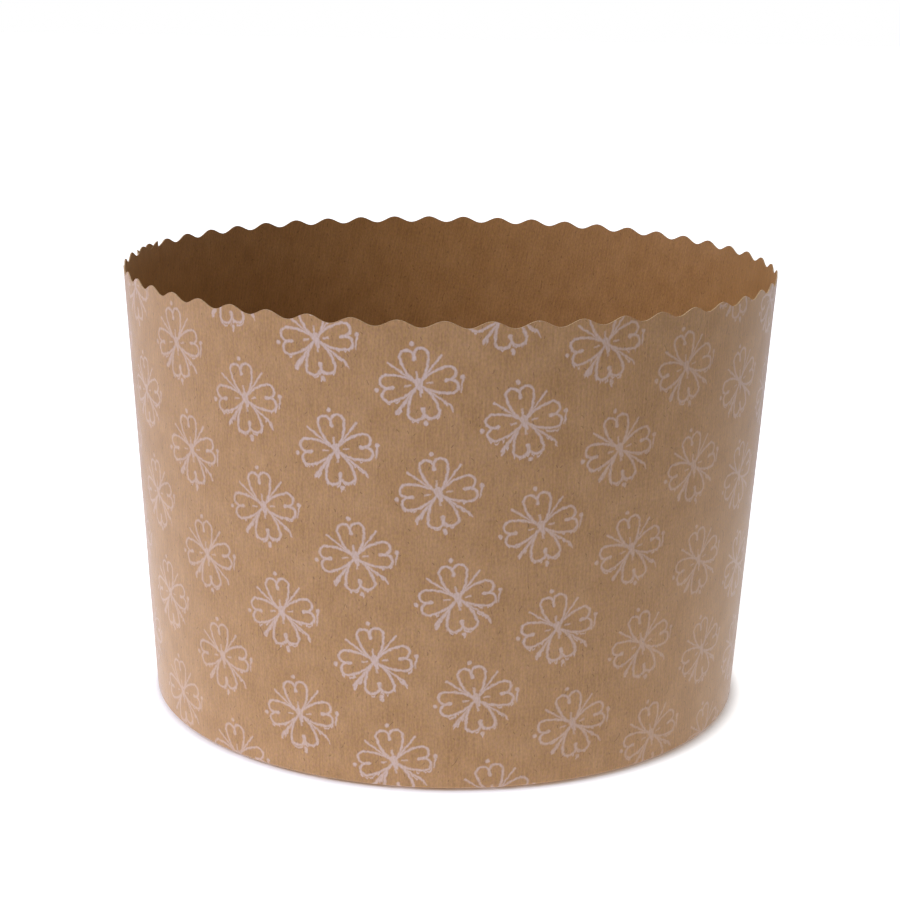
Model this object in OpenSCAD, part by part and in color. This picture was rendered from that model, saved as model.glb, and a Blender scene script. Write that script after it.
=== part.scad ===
// Tapered paper baking mold: a printed strip rolled into a cone and glued at a lap,
// its top edge cut in scallops and its lower edge gathered in under a glued-in disc.

/* [Mold] */
// Outside diameter where the wall meets the fold at its foot
base_d = 132; // [90:1:180]
// Height from the table to the tips of the scallops
mold_h = 97; // [60:1:140]
// How far the wall leans outward, in degrees
flare_deg = 3.4; // [1:0.1:8]
// Thickness of the wall's paper
paper_t = 0.25; // [0.2:0.05:0.5]

/* [Scalloped rim] */
// Number of whole scallops in one turn of the rim
scallops = 50; // [24:1:72]
// Height of each scallop from valley to tip
scallop_depth = 1.4; // [0.6:0.1:3]

/* [Glued lap] */
// Width of the strip's end that lies glued over its beginning
lap_w = 12; // [8:1:24]
// Direction of the lap's outer edge, in degrees from +X
lap_edge_deg = 172; // [0:1:359]
// Length of the step where the outer paper climbs over the inner one
lap_step = 2; // [1:0.5:4]

/* [Gathered hem] */
// How far the hem reaches in under the disc
hem_w = 9; // [6:0.5:14]
// Outside radius of the fold at the foot of the wall
fold_r = 0.9; // [0.7:0.1:2]
// Number of pleats that gather the hem
pleats = 50; // [24:1:72]

/* [Base disc] */
// Thickness of the disc's card
disc_t = 0.5; // [0.3:0.1:1]
// Gap between the disc's edge and the start of the fold
disc_gap = 0.2; // [0.1:0.1:1]
// Diameter of each steam vent
vent_d = 3; // [2:0.5:6]
// Number of vents in the ring round the middle one
ring_vents = 6; // [3:1:12]
// Radius of the ring of vents
vent_ring_r = 32; // [15:1:36]

/* [Hidden] */
$fn = 96;

// Paper laid on paper is pressed this far together by the glue
glue_press = 0.08;
// The lapped end of the hem stops this far short of the edge of the hem below it
lap_trim = 0.3;
// Two folded-back layers of each pleat hang below the hem
hem_z = 2 * paper_t;
disc_z = hem_z + paper_t;

// Centre of the fold's arc, touching both the leaning wall and the flat hem
fold_z = hem_z + fold_r;
fold_cx = base_d / 2 + fold_z * tan(flare_deg) - fold_r / cos(flare_deg);
fold_steps = 6;
hem_inner_r = fold_cx - hem_w;
disc_r = fold_cx - disc_gap;

rim_r = base_d / 2 + mold_h * tan(flare_deg);

// Facets in the wave of one scallop, and how far the wave's own tips rise above
// the strip's edge, which trims them
wave_steps = 10;
tip_trim = 0.08;
// A turn holds half a scallop more, so the two edges in the lap are out of step
scallop_deg = 360 / (scallops + 0.5);
scallop_w = 2 * rim_r * tan(scallop_deg / 2);

// Angles covered by the lap and by the step that leads onto it
lap_deg = lap_w / rim_r * 180 / PI;
step_deg = lap_step / rim_r * 180 / PI;
lap_start = lap_edge_deg - lap_deg;
// The climbing wedge runs on this far into the lapped end
climb_tuck_deg = step_deg / 4;
// Deep enough to cut through the leaning wall and both papers of the lap
waste_t = 12 * paper_t;

// Each pleat takes up its share of the length that the hem loses on its way in
pleat_w = PI * hem_w / pleats;

function on_circle(r, a) = [r * cos(a), r * sin(a)];
function wall_r(z) = base_d / 2 + z * tan(flare_deg);

// One side of the folded strip in section, grown outward by the given distance:
// from the hem's edge, round the fold, to the top edge
function strip_side(grow, hem_edge_r) = concat(
    [[hem_edge_r, hem_z - grow]],
    [for (i = [0 : fold_steps])
        let (a = -90 + (90 - flare_deg) * i / fold_steps)
        [fold_cx, fold_z] + on_circle(fold_r + grow, a)],
    [[wall_r(mold_h) + grow / cos(flare_deg), mold_h]]
);

// The closed section between two such sides
function strip_section(inner, outer, hem_edge_r) =
    let (back = strip_side(inner, hem_edge_r))
    concat(strip_side(outer, hem_edge_r), [for (i = [len(back) - 1 : -1 : 0]) back[i]]);

// Height of the wave across one scallop; u runs from -0.5 to 0.5 with the valley at 0
function wave_z(u) =
    mold_h + tip_trim - (scallop_depth + tip_trim) * (1 + cos(360 * u)) / 2;

// What is cut away between two neighbouring tips, the first one next to the lap
module scallop_waste(number) {
    wave = [for (k = [0.5 : wave_steps - 0.5])
        let (u = k / wave_steps - 0.5)
        [u * scallop_w, wave_z(u)]];
    top = mold_h + scallop_depth;
    rotate([0, 0, lap_start + (number + 0.5) * scallop_deg])
        translate([rim_r, 0, 0])
            rotate([90, 0, 90])
                linear_extrude(height = waste_t, center = true)
                    polygon(concat([[wave[0][0], top]], wave, [[-wave[0][0], top]]));
}

// The strip once round, its rim cut in scallops
module rolled_strip() {
    difference() {
        rotate_extrude() polygon(strip_section(-paper_t, 0, hem_inner_r));
        for (i = [0 : scallops]) scallop_waste(i);
    }
}

// The strip's end, glued over its beginning, where its scallops carry on
module lapped_end() {
    difference() {
        union() {
            rotate([0, 0, lap_start])
                rotate_extrude(angle = lap_deg)
                    polygon(strip_section(-glue_press, paper_t, hem_inner_r + lap_trim));
            lap_climb();
        }
        for (i = [scallops : scallops + ceil(lap_deg / scallop_deg)]) scallop_waste(i);
    }
}

// Wedge along the wall where the outer paper climbs onto the inner one
module lap_climb() {
    foot_r = wall_r(fold_z);
    translate([0, 0, fold_z])
        linear_extrude(height = mold_h - fold_z, scale = wall_r(mold_h) / foot_r)
            polygon([
                on_circle(foot_r - glue_press, lap_start - step_deg),
                on_circle(foot_r + paper_t, lap_start),
                on_circle(foot_r + paper_t, lap_start + climb_tuck_deg),
                on_circle(foot_r - 2 * glue_press, lap_start + climb_tuck_deg)
            ]);
}

// A pleat: paper folded back on itself, widening from nothing near the fold
module pleat() {
    inner = hem_inner_r + paper_t;
    outer = fold_cx - paper_t;
    linear_extrude(height = hem_z + paper_t / 2)
        polygon([[outer, 0], [inner, pleat_w / 2], [inner, -pleat_w / 2]]);
}

module side_wall() {
    color("tan") {
        rolled_strip();
        lapped_end();
        for (i = [0 : pleats - 1])
            rotate([0, 0, i * 360 / pleats]) pleat();
    }
}

// Disc that lies on the hem inside the mold and closes its bottom
module base_disc() {
    color("peru")
        difference() {
            translate([0, 0, disc_z]) cylinder(r = disc_r, h = disc_t);
            translate([0, 0, disc_z - disc_t]) {
                cylinder(d = vent_d, h = 3 * disc_t);
                for (i = [0 : ring_vents - 1])
                    rotate([0, 0, i * 360 / ring_vents])
                        translate([vent_ring_r, 0, 0])
                            cylinder(d = vent_d, h = 3 * disc_t);
            }
        }
}

side_wall();
base_disc();
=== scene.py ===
import math

import bpy
from mathutils import Matrix, Vector


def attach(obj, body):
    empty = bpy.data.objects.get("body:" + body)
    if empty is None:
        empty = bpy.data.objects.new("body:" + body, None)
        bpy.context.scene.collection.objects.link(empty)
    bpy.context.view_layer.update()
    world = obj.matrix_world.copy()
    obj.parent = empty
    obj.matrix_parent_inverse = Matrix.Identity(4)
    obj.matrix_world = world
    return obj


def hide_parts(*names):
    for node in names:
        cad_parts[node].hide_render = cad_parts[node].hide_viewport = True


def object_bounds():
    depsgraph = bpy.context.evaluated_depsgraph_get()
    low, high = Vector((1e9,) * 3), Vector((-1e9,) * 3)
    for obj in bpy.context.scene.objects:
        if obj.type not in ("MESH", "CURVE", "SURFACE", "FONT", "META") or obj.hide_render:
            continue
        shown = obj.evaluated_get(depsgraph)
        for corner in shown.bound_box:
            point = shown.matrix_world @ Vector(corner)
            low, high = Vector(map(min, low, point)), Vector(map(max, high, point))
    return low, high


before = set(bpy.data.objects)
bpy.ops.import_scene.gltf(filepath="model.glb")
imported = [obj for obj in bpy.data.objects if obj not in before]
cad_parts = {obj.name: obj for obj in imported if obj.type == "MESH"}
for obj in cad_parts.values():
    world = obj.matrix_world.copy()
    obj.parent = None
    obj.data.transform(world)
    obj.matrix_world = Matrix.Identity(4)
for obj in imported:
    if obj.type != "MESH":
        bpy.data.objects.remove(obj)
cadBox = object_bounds()
print("frame: loaded", ", ".join(sorted(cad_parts)))


# Camera, fitted to the rims and the foot as the photograph shows them
shot = {
    "place": (0.0005, -0.4279, 0.1653),
    "sensor": 36.0,      # mm across
    "lens": 78.05,       # mm; 0.9% longer than the fit gave, to match the width of the outline
    "lookDown": 14.616,  # degrees below the horizon
    "lean": 0.917,       # degrees that the camera is turned about its own axis
}


def addCamera():
    data = bpy.data.cameras.new("camera")
    data.sensor_width = shot["sensor"]
    data.lens = shot["lens"]
    camera = bpy.data.objects.new("camera", data)
    bpy.context.scene.collection.objects.link(camera)
    tilt = Matrix.Rotation(math.radians(90 - shot["lookDown"]), 4, "X")
    lean = Matrix.Rotation(math.radians(shot["lean"]), 4, "Z")
    camera.matrix_world = Matrix.Translation(shot["place"]) @ tilt @ lean
    bpy.context.scene.camera = camera


addCamera()
bpy.context.scene.view_settings.view_transform = "Standard"
print("camera: placed")


# Node helpers, for shader trees and geometry trees alike
class Wire:
    # One output socket, or a constant, that can be used in plain arithmetic

    def __init__(self, tree, socket):
        self.tree = tree
        self.socket = socket

    def math(self, operation, *others):
        node = self.tree.nodes.new("ShaderNodeMath")
        node.operation = operation
        for socket, value in zip(node.inputs, (self, *others)):
            plug(value, socket)
        return Wire(self.tree, node.outputs[0])

    def __add__(self, other):
        return self.math("ADD", other)

    def __sub__(self, other):
        return self.math("SUBTRACT", other)

    def __rsub__(self, other):
        return self.math("MULTIPLY_ADD", -1.0, other)

    def __mul__(self, other):
        return self.math("MULTIPLY", other)

    def __truediv__(self, other):
        return self.math("DIVIDE", other)

    def __rtruediv__(self, other):
        return self.math("POWER", -1.0) * other

    __radd__ = __add__
    __rmul__ = __mul__

    def clamped(self):
        part = self.math("ADD", 0.0)
        part.socket.node.use_clamp = True
        return part

    def eased(self, low, high):
        # 0 below low, 1 above high and an S curve between them
        node = self.tree.nodes.new("ShaderNodeMapRange")
        node.interpolation_type = "SMOOTHSTEP"
        plug(self, node.inputs["Value"])
        plug(low, node.inputs["From Min"])
        plug(high, node.inputs["From Max"])
        return Wire(self.tree, node.outputs["Result"])


def plug(value, socket):
    if isinstance(value, Wire):
        value.tree.links.new(value.socket, socket)
    else:
        socket.default_value = value


def addNode(tree, kind, settings=None, **inputs):
    node = tree.nodes.new(kind)
    for name, value in (settings or {}).items():
        setattr(node, name, value)
    for name, value in inputs.items():
        plug(value, node.inputs[name.replace("_", " ")])
    return node


def vector(x, y, z=0.0):
    tree = next(part.tree for part in (x, y, z) if isinstance(part, Wire))
    node = addNode(tree, "ShaderNodeCombineXYZ", X=x, Y=y, Z=z)
    return Wire(tree, node.outputs[0])


def axesOf(point):
    node = addNode(point.tree, "ShaderNodeSeparateXYZ", Vector=point)
    return [Wire(point.tree, output) for output in node.outputs]


def lengthOf(x, y):
    node = addNode(x.tree, "ShaderNodeVectorMath", {"operation": "LENGTH"})
    plug(vector(x, y), node.inputs[0])
    return Wire(x.tree, node.outputs["Value"])


def noiseAt(point, scale, detail=2.0, dimensions="2D"):
    node = addNode(point.tree, "ShaderNodeTexNoise", {"noise_dimensions": dimensions},
                   Vector=point, Scale=scale, Detail=detail)
    return Wire(point.tree, node.outputs[0])


def randomAt(point):
    node = addNode(point.tree, "ShaderNodeTexWhiteNoise", {"noise_dimensions": "2D"}, Vector=point)
    return Wire(point.tree, node.outputs["Value"])


def newGroup(kind, name, inputs, outputs):
    # A node group with named sockets, and its inputs as wires; each socket is (name, type, value)
    tree = bpy.data.node_groups.new(name, kind)
    for label, socketType, value in inputs:
        socket = tree.interface.new_socket(name=label, in_out="INPUT", socket_type=socketType)
        if value is not None:
            socket.default_value = value
    for label, socketType in outputs:
        tree.interface.new_socket(name=label, in_out="OUTPUT", socket_type=socketType)
    source = tree.nodes.new("NodeGroupInput")
    return tree, {label: Wire(tree, source.outputs[label]) for label, _, _ in inputs}


def closeGroup(tree, **results):
    end = tree.nodes.new("NodeGroupOutput")
    for label, value in results.items():
        plug(value, end.inputs[label])


# Kraft paper: clouds in the pulp, a fine grain with warm specks and ribs, short fibres and a few hairs
paperGrain = {
    "clouds": 0.16,          # per mm; where two numbers stand, along the strip and up it
    "grain": (2.6, 1.5),
    "warm": (2.2, 1.3),
    "ribs": (2.3, 0.22),
    "tooth": 5.0,
    "fibre": {"cell": 2.4, "length": 0.6, "width": 0.2, "share": 0.3, "spread": 0.6, "seed": 3.7},
    "hair": {"cell": 12.0, "length": 2.2, "width": 0.17, "share": 0.3, "spread": 0.5, "seed": 5.9},
}


def fibresAt(sheet, cell, length, width, share, spread, seed):
    # One short fibre in some of the cells; sizes in mm, spread 0 leaves every fibre upright
    tree = sheet.tree
    x, y, _ = axesOf(sheet)
    spot = vector(x / cell + seed, y / cell - seed)
    cells = addNode(tree, "ShaderNodeTexVoronoi", {"voronoi_dimensions": "2D"},
                    Vector=spot, Scale=1.0, Randomness=0.8)
    chance = axesOf(Wire(tree, cells.outputs["Color"]))
    cx, cy, _ = axesOf(Wire(tree, cells.outputs["Position"]))
    dx = (x / cell + seed - cx) * cell
    dy = (y / cell - seed - cy) * cell
    turn = (chance[0] - 0.5) * (math.pi * spread)
    along = dy * turn.math("COSINE") - dx * turn.math("SINE")
    across = dx * turn.math("COSINE") + dy * turn.math("SINE")
    bent = across + along * along * ((chance[1] - 0.5) / length)
    reach = length * (chance[1] * 0.35 + 0.15)
    past = (along.math("ABSOLUTE") - reach).math("MAXIMUM", 0.0)
    mark = 1.0 - lengthOf(past, bent).eased(width * 0.25, width * 0.75)
    return mark * chance[2].math("LESS_THAN", share)


def kraftPaper():
    tree, given = newGroup("ShaderNodeTree", "kraftPaper", [
        ("Sheet", "NodeSocketVector", None),  # mm on the flat sheet, grain along Y
        ("Pulp", "NodeSocketColor", (0.4, 0.23, 0.11, 1.0)),
        ("Clouds", "NodeSocketFloat", 0.3),
        ("Grain", "NodeSocketFloat", 0.5),
        ("Fibres", "NodeSocketFloat", 0.35),
    ], [("Colour", "NodeSocketColor"), ("Roughness", "NodeSocketFloat"), ("Height", "NodeSocketFloat")])
    sheet = given["Sheet"]
    x, y, _ = axesOf(sheet)
    grainX, grainY = paperGrain["grain"]
    warmX, warmY = paperGrain["warm"]
    ribX, ribY = paperGrain["ribs"]
    clouds = noiseAt(sheet, paperGrain["clouds"], 3.0) - 0.5
    grain = noiseAt(vector(x * grainX, y * grainY), 1.0, 2.0) - 0.5
    warm = noiseAt(vector(y * warmY + 40.0, x * warmX), 1.0, 2.0) - 0.5
    ribs = noiseAt(vector(x * ribX + 70.0, y * ribY), 1.0, 1.0) - 0.5
    cloudy = given["Clouds"] * clouds
    shade = 1.0 + cloudy + given["Grain"] * (grain + ribs * 0.7)
    dark = fibresAt(sheet, **paperGrain["fibre"])
    dark = dark.math("MAXIMUM", fibresAt(sheet, **paperGrain["hair"]))
    shade = shade * (1.0 - dark * given["Fibres"])
    green = shade * (1.0 + cloudy * 0.3 + given["Grain"] * warm * 0.25)
    blue = shade * (1.0 + cloudy - given["Grain"] * warm * 0.9)
    tinted = addNode(tree, "ShaderNodeVectorMath", {"operation": "MULTIPLY"})
    plug(given["Pulp"], tinted.inputs[0])
    plug(vector(shade, green, blue), tinted.inputs[1])
    tooth = grain + noiseAt(sheet, paperGrain["tooth"], 2.0) * 0.6
    closeGroup(tree, Colour=Wire(tree, tinted.outputs[0]), Roughness=0.5 + grain * 0.3, Height=tooth)
    return tree


# Flower print: heart petals in outline, drawn as strokes, in half-drop rows turned on the sheet
flower = {
    "columnGap": 18.55,       # mm between columns
    "rowGap": 21.88,          # mm between the flowers of a column
    "turn": 10.58,            # degrees that the rows are turned on the sheet
    "home": (-21.8, 70.7),    # centre of one flower on the sheet, mm
    "line": 0.25,             # half the width of a petal's line, mm
    "lobe": (1.38, 5.5),      # centre of one of a petal's two lobes; the first number is its radius too
    "side": (-5.47, 6.11),    # centre of the arc that a petal's side follows
    "sideRadius": 8.2,
    "shoulder": 5.4,          # where the side runs into the lobe
    "wider": (0.96, 1.1),     # width of the side petals and of the bottom one, against the top one
    "longer": 1.065,          # length of the side petals
    "paintedFadePeak": -10.0,         # where the print is least faded, mm along the strip; the fade is painted light, thinning the print towards both sides of the front and the foot, where light washes it out
    "paintedFadeMean": 0.74,          # density of the ink, and how far the painted fade makes it stray from that along the strip
    "paintedFadeSwing": 0.26,
    "paintedFadeFoot": 0.84,          # share of that density at the foot, and what it gains per mm up the strip, also painted fade
    "paintedFadeRise": 0.0018,
}


def strokeAt(x, y, start, end, startHalf, endHalf):
    # Distance to the edge of a straight stroke, below 0 inside it
    dx = end[0] - start[0]
    dy = end[1] - start[1]
    span = dx * dx + dy * dy
    part = ((x - start[0]) * (dx / span) + (y - start[1]) * (dy / span)).clamped()
    reach = lengthOf(x - start[0] - part * dx, y - start[1] - part * dy)
    return reach - part * (endHalf - startHalf) - startHalf


def blobAt(x, y, radius):
    return lengthOf(x, y) - radius


def onCircle(radius, degrees):
    return radius * math.cos(math.radians(degrees)), radius * math.sin(math.radians(degrees))


def flowerStrokes():
    tree, given = newGroup("ShaderNodeTree", "flowerStrokes", [
        ("X", "NodeSocketFloat", 0.0),
        ("Y", "NodeSocketFloat", 0.0),
        ("Line", "NodeSocketFloat", flower["line"]),
    ], [("Distance", "NodeSocketFloat")])
    x, y, line = given["X"], given["Y"], given["Line"]
    ax = x.math("ABSOLUTE")
    ay = y.math("ABSOLUTE")
    sideways = ax.math("GREATER_THAN", ay)
    bottom = y.math("LESS_THAN", 0.0) * (1.0 - sideways)
    sideWidth, bottomWidth = flower["wider"]
    px = ax.math("MINIMUM", ay)  # one half of one petal stands for all eight halves
    py = ax.math("MAXIMUM", ay)
    px = px * (1.0 + sideways * (1.0 / sideWidth - 1.0) + bottom * (1.0 / bottomWidth - 1.0))
    py = py * (1.0 + sideways * (1.0 / flower["longer"] - 1.0))
    lobeX, lobeY = flower["lobe"]
    sideX, sideY = flower["side"]
    lobe = (lengthOf(px - lobeX, py - lobeY) - lobeX).math("ABSOLUTE")
    side = (lengthOf(px - sideX, py - sideY) - flower["sideRadius"]).math("ABSOLUTE")
    shape = side + py.math("GREATER_THAN", flower["shoulder"]) * (lobe - side) - line
    thick = x.math("LESS_THAN", 0.0) * y.math("LESS_THAN", 0.0) * 0.16
    marks = [
        strokeAt(px, py, (0.0, 4.9), (0.0, 6.1), 0.4, 0.2),  # stem in the cleft
        strokeAt(px, py, (0.0, 1.5), (0.1, 2.5), 0.14, 0.09),  # dash in the petal
        strokeAt(x, y, (0.0, 0.3), (-0.15, 2.0), 0.3, 0.12),  # middle of the flower
        strokeAt(x, y, (0.0, 0.4), (0.25, -1.5), 0.85, 0.35),
        strokeAt(ax, ay, onCircle(1.4, 44.0), onCircle(7.1, 43.6), 0.16, thick + 0.22),  # between the petals
        strokeAt(x, y, onCircle(7.2, -43.6), (5.6, -5.9), 0.22, 0.12),  # tail of the lower right one
        strokeAt(x, y, (8.5, 0.0), (7.7, -2.3), 0.22, 0.1),  # tail of the dot on the right
        blobAt(x - 8.45, y - 0.1, 0.45),  # a dot beyond each petal
        blobAt(x + 8.25, y + 0.1, 0.44),
        blobAt(x, (y - 0.12).math("ABSOLUTE") - 7.83, 0.45),
    ]
    for mark in marks:
        shape = shape.math("MINIMUM", mark)
    closeGroup(tree, Distance=shape)
    return tree


def flowerPrint(strokes):
    tree, given = newGroup("ShaderNodeTree", "flowerPrint", [
        ("Sheet", "NodeSocketVector", None),
        ("Wobble", "NodeSocketFloat", 0.12),  # mm
        ("Drip", "NodeSocketFloat", 0.55),    # mm that wet ink ran down from the lower edges
        ("Blur", "NodeSocketFloat", 0.17),    # mm
        ("Wave", "NodeSocketFloat", 135.0),   # mm along the strip from one least faded stretch of the painted fade to the next
    ], [("Ink", "NodeSocketFloat")])
    sheet = given["Sheet"]
    flatX, flatY, _ = axesOf(sheet)
    wave = noiseAt(sheet, 1.1, 2.0) - 0.5
    cross = noiseAt(vector(flatY + 31.0, flatX - 17.0), 1.1, 2.0) - 0.5
    sx = flatX - flower["home"][0] + wave * given["Wobble"] * 4.0
    sy = flatY - flower["home"][1] + cross * given["Wobble"] * 4.0
    cosine, sine = onCircle(1.0, flower["turn"])
    gx = sx * cosine + sy * sine
    gy = sy * cosine - sx * sine
    column = (gx / flower["columnGap"]).math("ROUND")
    fx = gx - column * flower["columnGap"]
    drop = (column * 0.5).math("FRACT") * flower["rowGap"]
    row = ((gy + drop) / flower["rowGap"]).math("ROUND")
    fy = gy + drop - row * flower["rowGap"]
    luck = randomAt(vector(column + 0.5, row + 0.5))
    sharp = addNode(tree, "ShaderNodeGroup", {"node_tree": strokes}, X=fx, Y=fy)
    teeth = noiseAt(vector(sx * 1.1, sy * 0.3), 1.0, 1.0).eased(0.4, 0.62)
    low = lengthOf(fx, fy).eased(3.5, 5.5) * (1.0 - fy.eased(-2.5, 0.0))
    run = teeth * low * given["Drip"] * (luck * 0.6 + 0.7)
    wet = addNode(tree, "ShaderNodeGroup", {"node_tree": strokes}, X=fx, Y=fy + run,
                  Line=flower["line"] * 0.75)
    shape = Wire(tree, sharp.outputs[0]).math("MINIMUM", Wire(tree, wet.outputs[0]))
    ink = 1.0 - shape.eased(-1.0 * given["Blur"], given["Blur"])
    thin = noiseAt(vector(sx * 2.7, sy * 1.1), 1.0, 2.0).eased(0.3, 0.7)
    # Painted light: the ink thins in a slow wave along the strip and towards the foot, standing in for light
    # washing the print out
    phase = (flatX - flower["paintedFadePeak"]) * (2 * math.pi) / given["Wave"]
    paintedFadeInk = flower["paintedFadeMean"] + flower["paintedFadeSwing"] * phase.math("COSINE")
    paintedFadeInk = paintedFadeInk * (flower["paintedFadeFoot"] + flower["paintedFadeRise"] * flatY)
    closeGroup(tree, Ink=ink * paintedFadeInk * (0.92 + luck * 0.08) * (1.0 - thin * 0.3))
    return tree


kraftTree = kraftPaper()
printTree = flowerPrint(flowerStrokes())
print("node groups: kraft paper and flower print made")


# Materials
paperLooks = {
    "printed": (0.396, 0.220, 0.098),
    # plain: inside and disc, the unprinted side's brown made darker and more saturated as painted shade and
    # bounce light
    "plain": (0.38, 0.187, 0.061),
    "cut": (0.52, 0.34, 0.17),
    "ink": (0.62, 0.48, 0.45),
    "inkCover": 0.95,
    "specular": 0.3,
    "sheen": 0.42,                   # pale bloom at grazing angles, outside only
    "sheenTint": (0.86, 0.84, 1.0),
    "sheenRoughness": 0.2,
    "bump": 0.5,
    "toothDepth": 0.00005,           # m
}


def paperMaterial(name, pulp, where, printed=False, grain=0.5):
    material = bpy.data.materials.new(name)
    material.use_nodes = True
    tree = material.node_tree
    surface = tree.nodes["Principled BSDF"]
    if where == "flatSheet":
        place = Wire(tree, addNode(tree, "ShaderNodeUVMap", {"uv_map": "flatSheet"}).outputs[0])
    else:
        objectPlace = addNode(tree, "ShaderNodeTexCoord").outputs["Object"]
        scaled = addNode(tree, "ShaderNodeMapping")
        scaled.inputs["Scale"].default_value = (1000.0, 1000.0, 1000.0)
        tree.links.new(objectPlace, scaled.inputs["Vector"])
        place = Wire(tree, scaled.outputs[0])
    kraft = addNode(tree, "ShaderNodeGroup", {"node_tree": kraftTree}, Sheet=place,
                    Pulp=(*pulp, 1.0), Grain=grain)
    colour = Wire(tree, kraft.outputs["Colour"])
    if printed:
        ink = Wire(tree, addNode(tree, "ShaderNodeGroup", {"node_tree": printTree}, Sheet=place).outputs[0])
        mixed = addNode(tree, "ShaderNodeMix", {"data_type": "RGBA"})
        plug(ink * paperLooks["inkCover"], mixed.inputs[0])
        plug(colour, mixed.inputs[6])
        plug((*paperLooks["ink"], 1.0), mixed.inputs[7])
        colour = Wire(tree, mixed.outputs[2])
        surface.inputs["Sheen Weight"].default_value = paperLooks["sheen"]
        surface.inputs["Sheen Roughness"].default_value = paperLooks["sheenRoughness"]
        surface.inputs["Sheen Tint"].default_value = (*paperLooks["sheenTint"], 1.0)
    bump = addNode(tree, "ShaderNodeBump", Strength=paperLooks["bump"], Distance=paperLooks["toothDepth"],
                   Height=Wire(tree, kraft.outputs["Height"]))
    plug(colour, surface.inputs["Base Color"])
    plug(Wire(tree, kraft.outputs["Roughness"]), surface.inputs["Roughness"])
    surface.inputs["Specular IOR Level"].default_value = paperLooks["specular"]
    tree.links.new(bump.outputs[0], surface.inputs["Normal"])
    return material


printedKraft = paperMaterial("printed_kraft_outside", paperLooks["printed"], "flatSheet", printed=True)
# The inside and the disc carry painted shade in their plain colour
plainKraftShaded = paperMaterial("plain_kraft_inside_shaded", paperLooks["plain"], "flatSheet")
cutEdge = paperMaterial("cut_edge", paperLooks["cut"], "object", grain=0.6)
discKraftShaded = paperMaterial("disc_kraft_shaded", paperLooks["plain"], "object")
print("materials: made")


# Side wall: the rolled strip from its gathered hem, round the fold, up to the scalloped rim
wall = {
    "Foot Radius": 0.066,
    "Height": cadBox[1].z,
    "Flare": 3.4,                # degrees
    "Paper": 0.00025,
    "Scallops": 50.5,            # in one turn
    "Scallop Depth": 0.0014,
    "Lap Edge": 172.0,           # degrees from +X
    "Lap Width": 0.012,
    "Lap Step": 0.002,
    "Hem Width": 0.009,
    "Fold Radius": 0.0009,
    "Pleats": 50.0,
    "Columns Per Pleat": 14.0,
    "Hem Rows": 6.0,
    "Fold Rows": 6.0,
    "Wall Rows": 26.0,
    "Sway": 0.0006,              # how far the rim strays inward from a true circle
    "Seed": 7.0,
}


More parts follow.
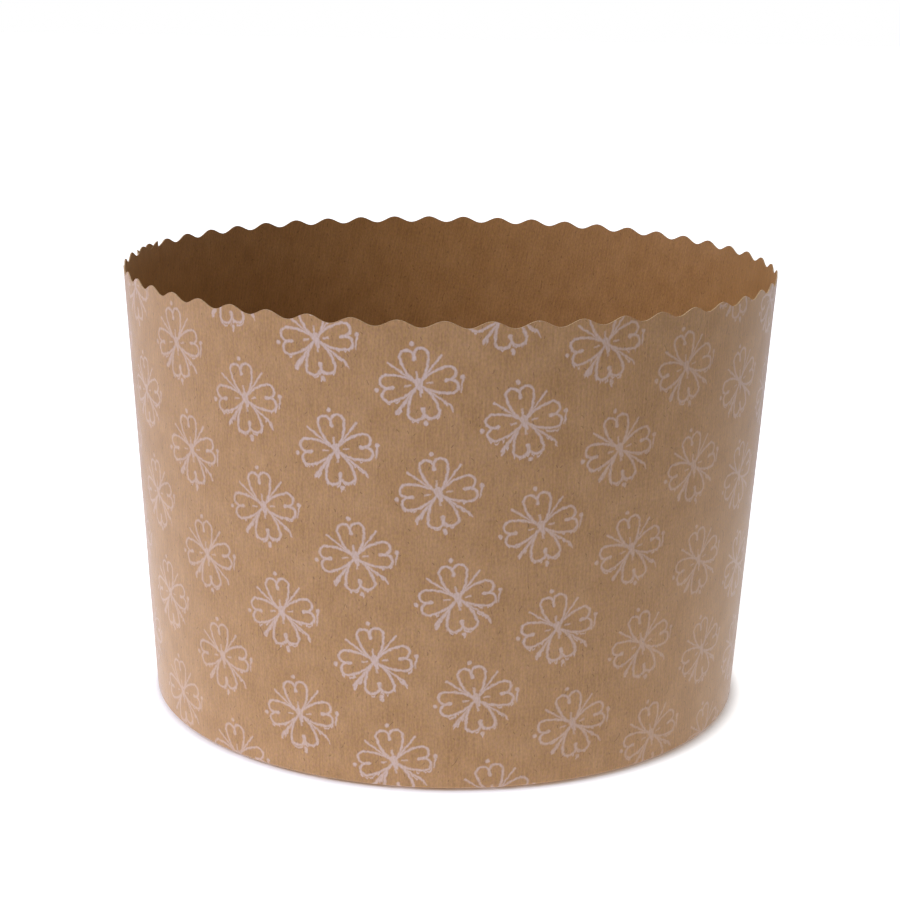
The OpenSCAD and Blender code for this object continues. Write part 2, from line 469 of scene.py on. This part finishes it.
def rolledStrip():
    numbers = [(name, "NodeSocketFloat", 0.0) for name in wall]
    tree, given = newGroup("GeometryNodeTree", "rolledStrip",
                           [("Geometry", "NodeSocketGeometry", None), *numbers,
                            ("Material", "NodeSocketMaterial", None)],
                           [("Geometry", "NodeSocketGeometry")])
    paper, flare = given["Paper"], given["Flare"].math("RADIANS")
    lean = flare.math("TANGENT")
    rimRadius = given["Foot Radius"] + given["Height"] * lean
    lapAngle = (given["Lap Width"] / rimRadius).math("DEGREES")
    climbAngle = (given["Lap Step"] / rimRadius).math("DEGREES")
    lapStart = given["Lap Edge"] - lapAngle
    pleatPitch = 360.0 / given["Pleats"]
    step = pleatPitch / given["Columns Per Pleat"]
    firstColumn = (lapStart / step).math("FLOOR")
    columns = ((360.0 + lapAngle) / step).math("CEIL") + 2.0
    rows = given["Hem Rows"] + given["Fold Rows"] + given["Wall Rows"]
    grid = addNode(tree, "GeometryNodeMeshGrid", Size_X=1.0, Size_Y=1.0,
                   Vertices_X=columns, Vertices_Y=rows + 1.0)

    gridX, gridY, _ = axesOf(Wire(tree, addNode(tree, "GeometryNodeInputPosition").outputs[0]))
    column = ((gridX + 0.5) * (columns - 1.0)).math("ROUND")
    row = ((gridY + 0.5) * rows).math("ROUND")
    hemT = (row / given["Hem Rows"]).clamped()
    foldT = ((row - given["Hem Rows"]) / given["Fold Rows"]).clamped()
    wallT = ((row - given["Hem Rows"] - given["Fold Rows"]) / given["Wall Rows"]).clamped()

    # Each pleat has its own run of columns, drawn together at its crisp edge
    evenTurn = (firstColumn + column) * step
    cell = evenTurn / pleatPitch + 0.5
    pleat = (cell + 0.001).math("FLOOR")
    place = cell - pleat
    off = place - 0.5
    luck = randomAt(vector(pleat, given["Seed"]))
    gathered = 0.3 * off + 2.8 * off * off * off
    drawn = gathered + (luck - 0.5) * 0.2 * (1.0 - 4.0 * off * off)
    before = pleat * pleatPitch - lapStart - lapAngle - pleatPitch * 0.5
    after = lapStart + 360.0 - pleat * pleatPitch - pleatPitch * 0.5
    hasPleat = before.math("MINIMUM", after).math("GREATER_THAN", 0.0)
    nearHem = (1.0 - wallT.eased(0.0, 0.3)) * hasPleat
    turn = (pleat + off + nearHem * (drawn - off)) * pleatPitch
    turn = turn.math("MAXIMUM", lapStart).math("MINIMUM", given["Lap Edge"] + 360.0)
    angle = turn.math("RADIANS")

    # The last stretch climbs onto the strip's own beginning
    climb = ((turn - lapStart - 360.0 + climbAngle) / climbAngle).clamped()
    foldZ = 2.0 * paper + given["Fold Radius"]
    foldX = given["Foot Radius"] + foldZ * lean - given["Fold Radius"] / flare.math("COSINE")
    bend = given["Fold Radius"] + climb * paper
    bendAngle = (math.pi / 2 - flare) * foldT - math.pi / 2
    wave = ((turn - lapStart) * given["Scallops"]).math("RADIANS").math("COSINE")
    tip = given["Height"] - given["Scallop Depth"] * (0.5 - wave * 0.5)
    rise = (tip - foldZ + bend * flare.math("SINE")) * wallT
    narrow = 1.0 - hemT
    ridge = off.eased(-0.12 - 0.3 * narrow, -0.03 - 0.1 * narrow) * off.math("LESS_THAN", 0.03)
    pleatDepth = 2.0 * paper * ridge * narrow.eased(0.0, 0.4) * hasPleat * (0.8 + 0.2 * luck)
    around = vector(angle.math("COSINE"), angle.math("SINE"), wallT * 1.4)
    sway = given["Sway"] * wallT.eased(0.0, 1.0) * noiseAt(around, 1.6, 2.0, "3D")
    ragged = noiseAt(around, 14.0, 2.0, "3D") * narrow * paper * 2.0
    radius = foldX - narrow * given["Hem Width"] + bend * bendAngle.math("COSINE") + rise * lean
    radius = radius - sway + ragged
    height = foldZ + bend * bendAngle.math("SINE") + rise - pleatDepth

    # Where each point lay on the flat sheet, in mm, with the front of the mold at the middle
    slant = flare.math("SINE")
    footRay = given["Foot Radius"] / slant
    ray = footRay + (foldZ - given["Fold Radius"] * slant + rise) / flare.math("COSINE")
    ray = ray - (1.0 - foldT) * (math.pi / 2 - flare) * given["Fold Radius"] - narrow * given["Hem Width"]
    swing = (angle - math.radians(270)) * slant
    sheetX = ray * swing.math("SINE") * 1000.0
    sheetY = (ray * swing.math("COSINE") - footRay) * 1000.0
    stored = addNode(tree, "GeometryNodeStoreNamedAttribute", {"data_type": "FLOAT2", "domain": "CORNER"},
                     Geometry=Wire(tree, grid.outputs["Mesh"]), Name="flatSheet",
                     Value=vector(sheetX, sheetY))
    placed = addNode(tree, "GeometryNodeSetPosition", Geometry=Wire(tree, stored.outputs[0]),
                     Position=vector(radius * angle.math("COSINE"), radius * angle.math("SINE"), height))
    real = addNode(tree, "GeometryNodeRealizeInstances", Geometry=Wire(tree, placed.outputs[0]))
    dressed = addNode(tree, "GeometryNodeSetMaterial", Geometry=Wire(tree, real.outputs[0]),
                      Material=given["Material"])
    closeGroup(tree, Geometry=Wire(tree, dressed.outputs[0]))
    return tree


def finishedMesh(piece, name):
    # What the modifiers make of the piece, as a plain mesh
    seen = piece.evaluated_get(bpy.context.evaluated_depsgraph_get())
    mesh = bpy.data.meshes.new_from_object(seen)
    mesh.name = name
    piece.modifiers.clear()
    return mesh


def makeWall():
    solidShare = 0.96  # share of the paper's thickness that the solid sheet gets
    sharpAngle = 50    # degrees; edges that turn by more than this stay crisp
    piece = bpy.data.objects.new("wall_paper", bpy.data.meshes.new("wall_paper"))
    bpy.context.scene.collection.objects.link(piece)
    rolled = piece.modifiers.new("rolled", "NODES")
    rolled.node_group = rolledStrip()
    inputs = {item.name: item.identifier for item in rolled.node_group.interface.items_tree
              if item.in_out == "INPUT"}
    for name, value in wall.items():
        rolled[inputs[name]] = value
    rolled[inputs["Material"]] = printedKraft
    piece.data = finishedMesh(piece, "wall_sheet")
    piece.data.materials.append(plainKraftShaded)
    piece.data.materials.append(cutEdge)
    thick = piece.modifiers.new("thick", "SOLIDIFY")
    thick.thickness = wall["Paper"] * solidShare
    thick.offset = -1.0
    thick.material_offset = 1
    thick.material_offset_rim = 2
    piece.data = finishedMesh(piece, "wall_paper")
    piece.data.shade_smooth()
    piece.data.set_sharp_from_angle(angle=math.radians(sharpAngle))
    return piece


wallPaper = makeWall()
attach(wallPaper, "root")
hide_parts("side_wall")
print("side wall: rolled,", len(wallPaper.data.polygons), "faces")

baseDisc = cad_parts["base_disc"]
baseDisc.material_slots[0].material = discKraftShaded
print("base disc: dressed")


# Floor, background and light
studio = {
    "floorSize": 6.0,        # m
    "floorColour": (0.83, 0.85, 0.89),
    "floorGlow": 0.85,       # added only for the rays that see the floor as a background
    "paintedShadowEdge": (0.0641, 0.0695),  # distances from the axis between which that glow sets in, m; the ring without it is a painted shadow round the foot, over the real contact shadow
    "ambient": 0.35,
    "keyPlace": (-0.8, -0.5, 0.8),
    "keyAim": (0.0, 0.0, 0.04),
    "keySize": 0.6,
    "keyPower": 7.0,         # W
    "keyColour": (0.97, 1.0, 1.2),
    "sidePlace": (-1.0, 0.35, 0.4),
    "sideAim": (0.0, 0.0, 0.06),
    "sideSize": 0.7,
    "sidePower": 1.6,        # W
    "sideColour": (0.8, 0.9, 1.3),
    "tableRise": 0.0001,     # the light that the table gives back starts just above it, below the hem
    "tableRadius": 0.2,
    "tablePower": 0.22,      # W
}


def seenAsBackground(tree):
    # 1 for the rays that see the background, 0 for those that only carry its light
    path = tree.nodes.new("ShaderNodeLightPath")
    seen = Wire(tree, path.outputs["Is Camera Ray"]) + Wire(tree, path.outputs["Is Glossy Ray"])
    return (seen + Wire(tree, path.outputs["Is Transmission Ray"])).clamped()


def addFloor():
    half = studio["floorSize"] / 2
    mesh = bpy.data.meshes.new("floor")
    corners = [(-half, -half, 0), (half, -half, 0), (half, half, 0), (-half, half, 0)]
    mesh.from_pydata(corners, [], [(0, 1, 2, 3)])
    floor = bpy.data.objects.new("floor", mesh)
    bpy.context.scene.collection.objects.link(floor)
    material = bpy.data.materials.new("floor")
    material.use_nodes = True
    tree = material.node_tree
    surface = tree.nodes["Principled BSDF"]
    surface.inputs["Base Color"].default_value = (*studio["floorColour"], 1.0)
    surface.inputs["Roughness"].default_value = 1.0
    x, y, _ = axesOf(Wire(tree, addNode(tree, "ShaderNodeTexCoord").outputs["Object"]))
    # Painted shadow: the glow is held back in a ring round the foot, which darkens the floor there beyond
    # its real shadow
    outsidePaintedShadow = lengthOf(x, y).eased(*studio["paintedShadowEdge"])
    glow = addNode(tree, "ShaderNodeEmission", Color=(1.0, 1.0, 1.0, 1.0),
                   Strength=seenAsBackground(tree) * outsidePaintedShadow * studio["floorGlow"])
    lit = addNode(tree, "ShaderNodeAddShader")
    tree.links.new(surface.outputs[0], lit.inputs[0])
    tree.links.new(glow.outputs[0], lit.inputs[1])
    clear = addNode(tree, "ShaderNodeBsdfTransparent")
    geometry = addNode(tree, "ShaderNodeNewGeometry")
    sided = addNode(tree, "ShaderNodeMixShader")  # clear from below, so the underside can be seen
    tree.links.new(geometry.outputs["Backfacing"], sided.inputs[0])
    tree.links.new(lit.outputs[0], sided.inputs[1])
    tree.links.new(clear.outputs[0], sided.inputs[2])
    tree.links.new(sided.outputs[0], tree.nodes["Material Output"].inputs["Surface"])
    mesh.materials.append(material)


def addLamp(name, shape, place, target, size, power, colour=(1.0, 1.0, 1.0)):
    data = bpy.data.lights.new(name, "AREA")
    data.shape = shape
    data.size = size
    data.energy = power
    data.color = colour
    lamp = bpy.data.objects.new(name, data)
    lamp.visible_camera = False
    bpy.context.scene.collection.objects.link(lamp)
    aim = (Vector(target) - Vector(place)).to_track_quat("-Z", "Y")
    lamp.matrix_world = Matrix.LocRotScale(Vector(place), aim, None)


def addLight():
    world = bpy.data.worlds.new("world")
    bpy.context.scene.world = world
    world.use_nodes = True
    tree = world.node_tree
    background = tree.nodes["Background"]
    background.inputs["Color"].default_value = (1.0, 1.0, 1.0, 1.0)
    ambient = studio["ambient"]
    plug(seenAsBackground(tree) * (1.0 - ambient) + ambient, background.inputs["Strength"])
    addLamp("key", "SQUARE", studio["keyPlace"], studio["keyAim"], studio["keySize"],
            studio["keyPower"], studio["keyColour"])
    addLamp("side", "SQUARE", studio["sidePlace"], studio["sideAim"], studio["sideSize"],
            studio["sidePower"], studio["sideColour"])
    addLamp("table", "DISK", (0.0, 0.0, studio["tableRise"]), (0.0, 0.0, 1.0), 2 * studio["tableRadius"],
            studio["tablePower"])


addFloor()
addLight()
print("floor and light: placed")
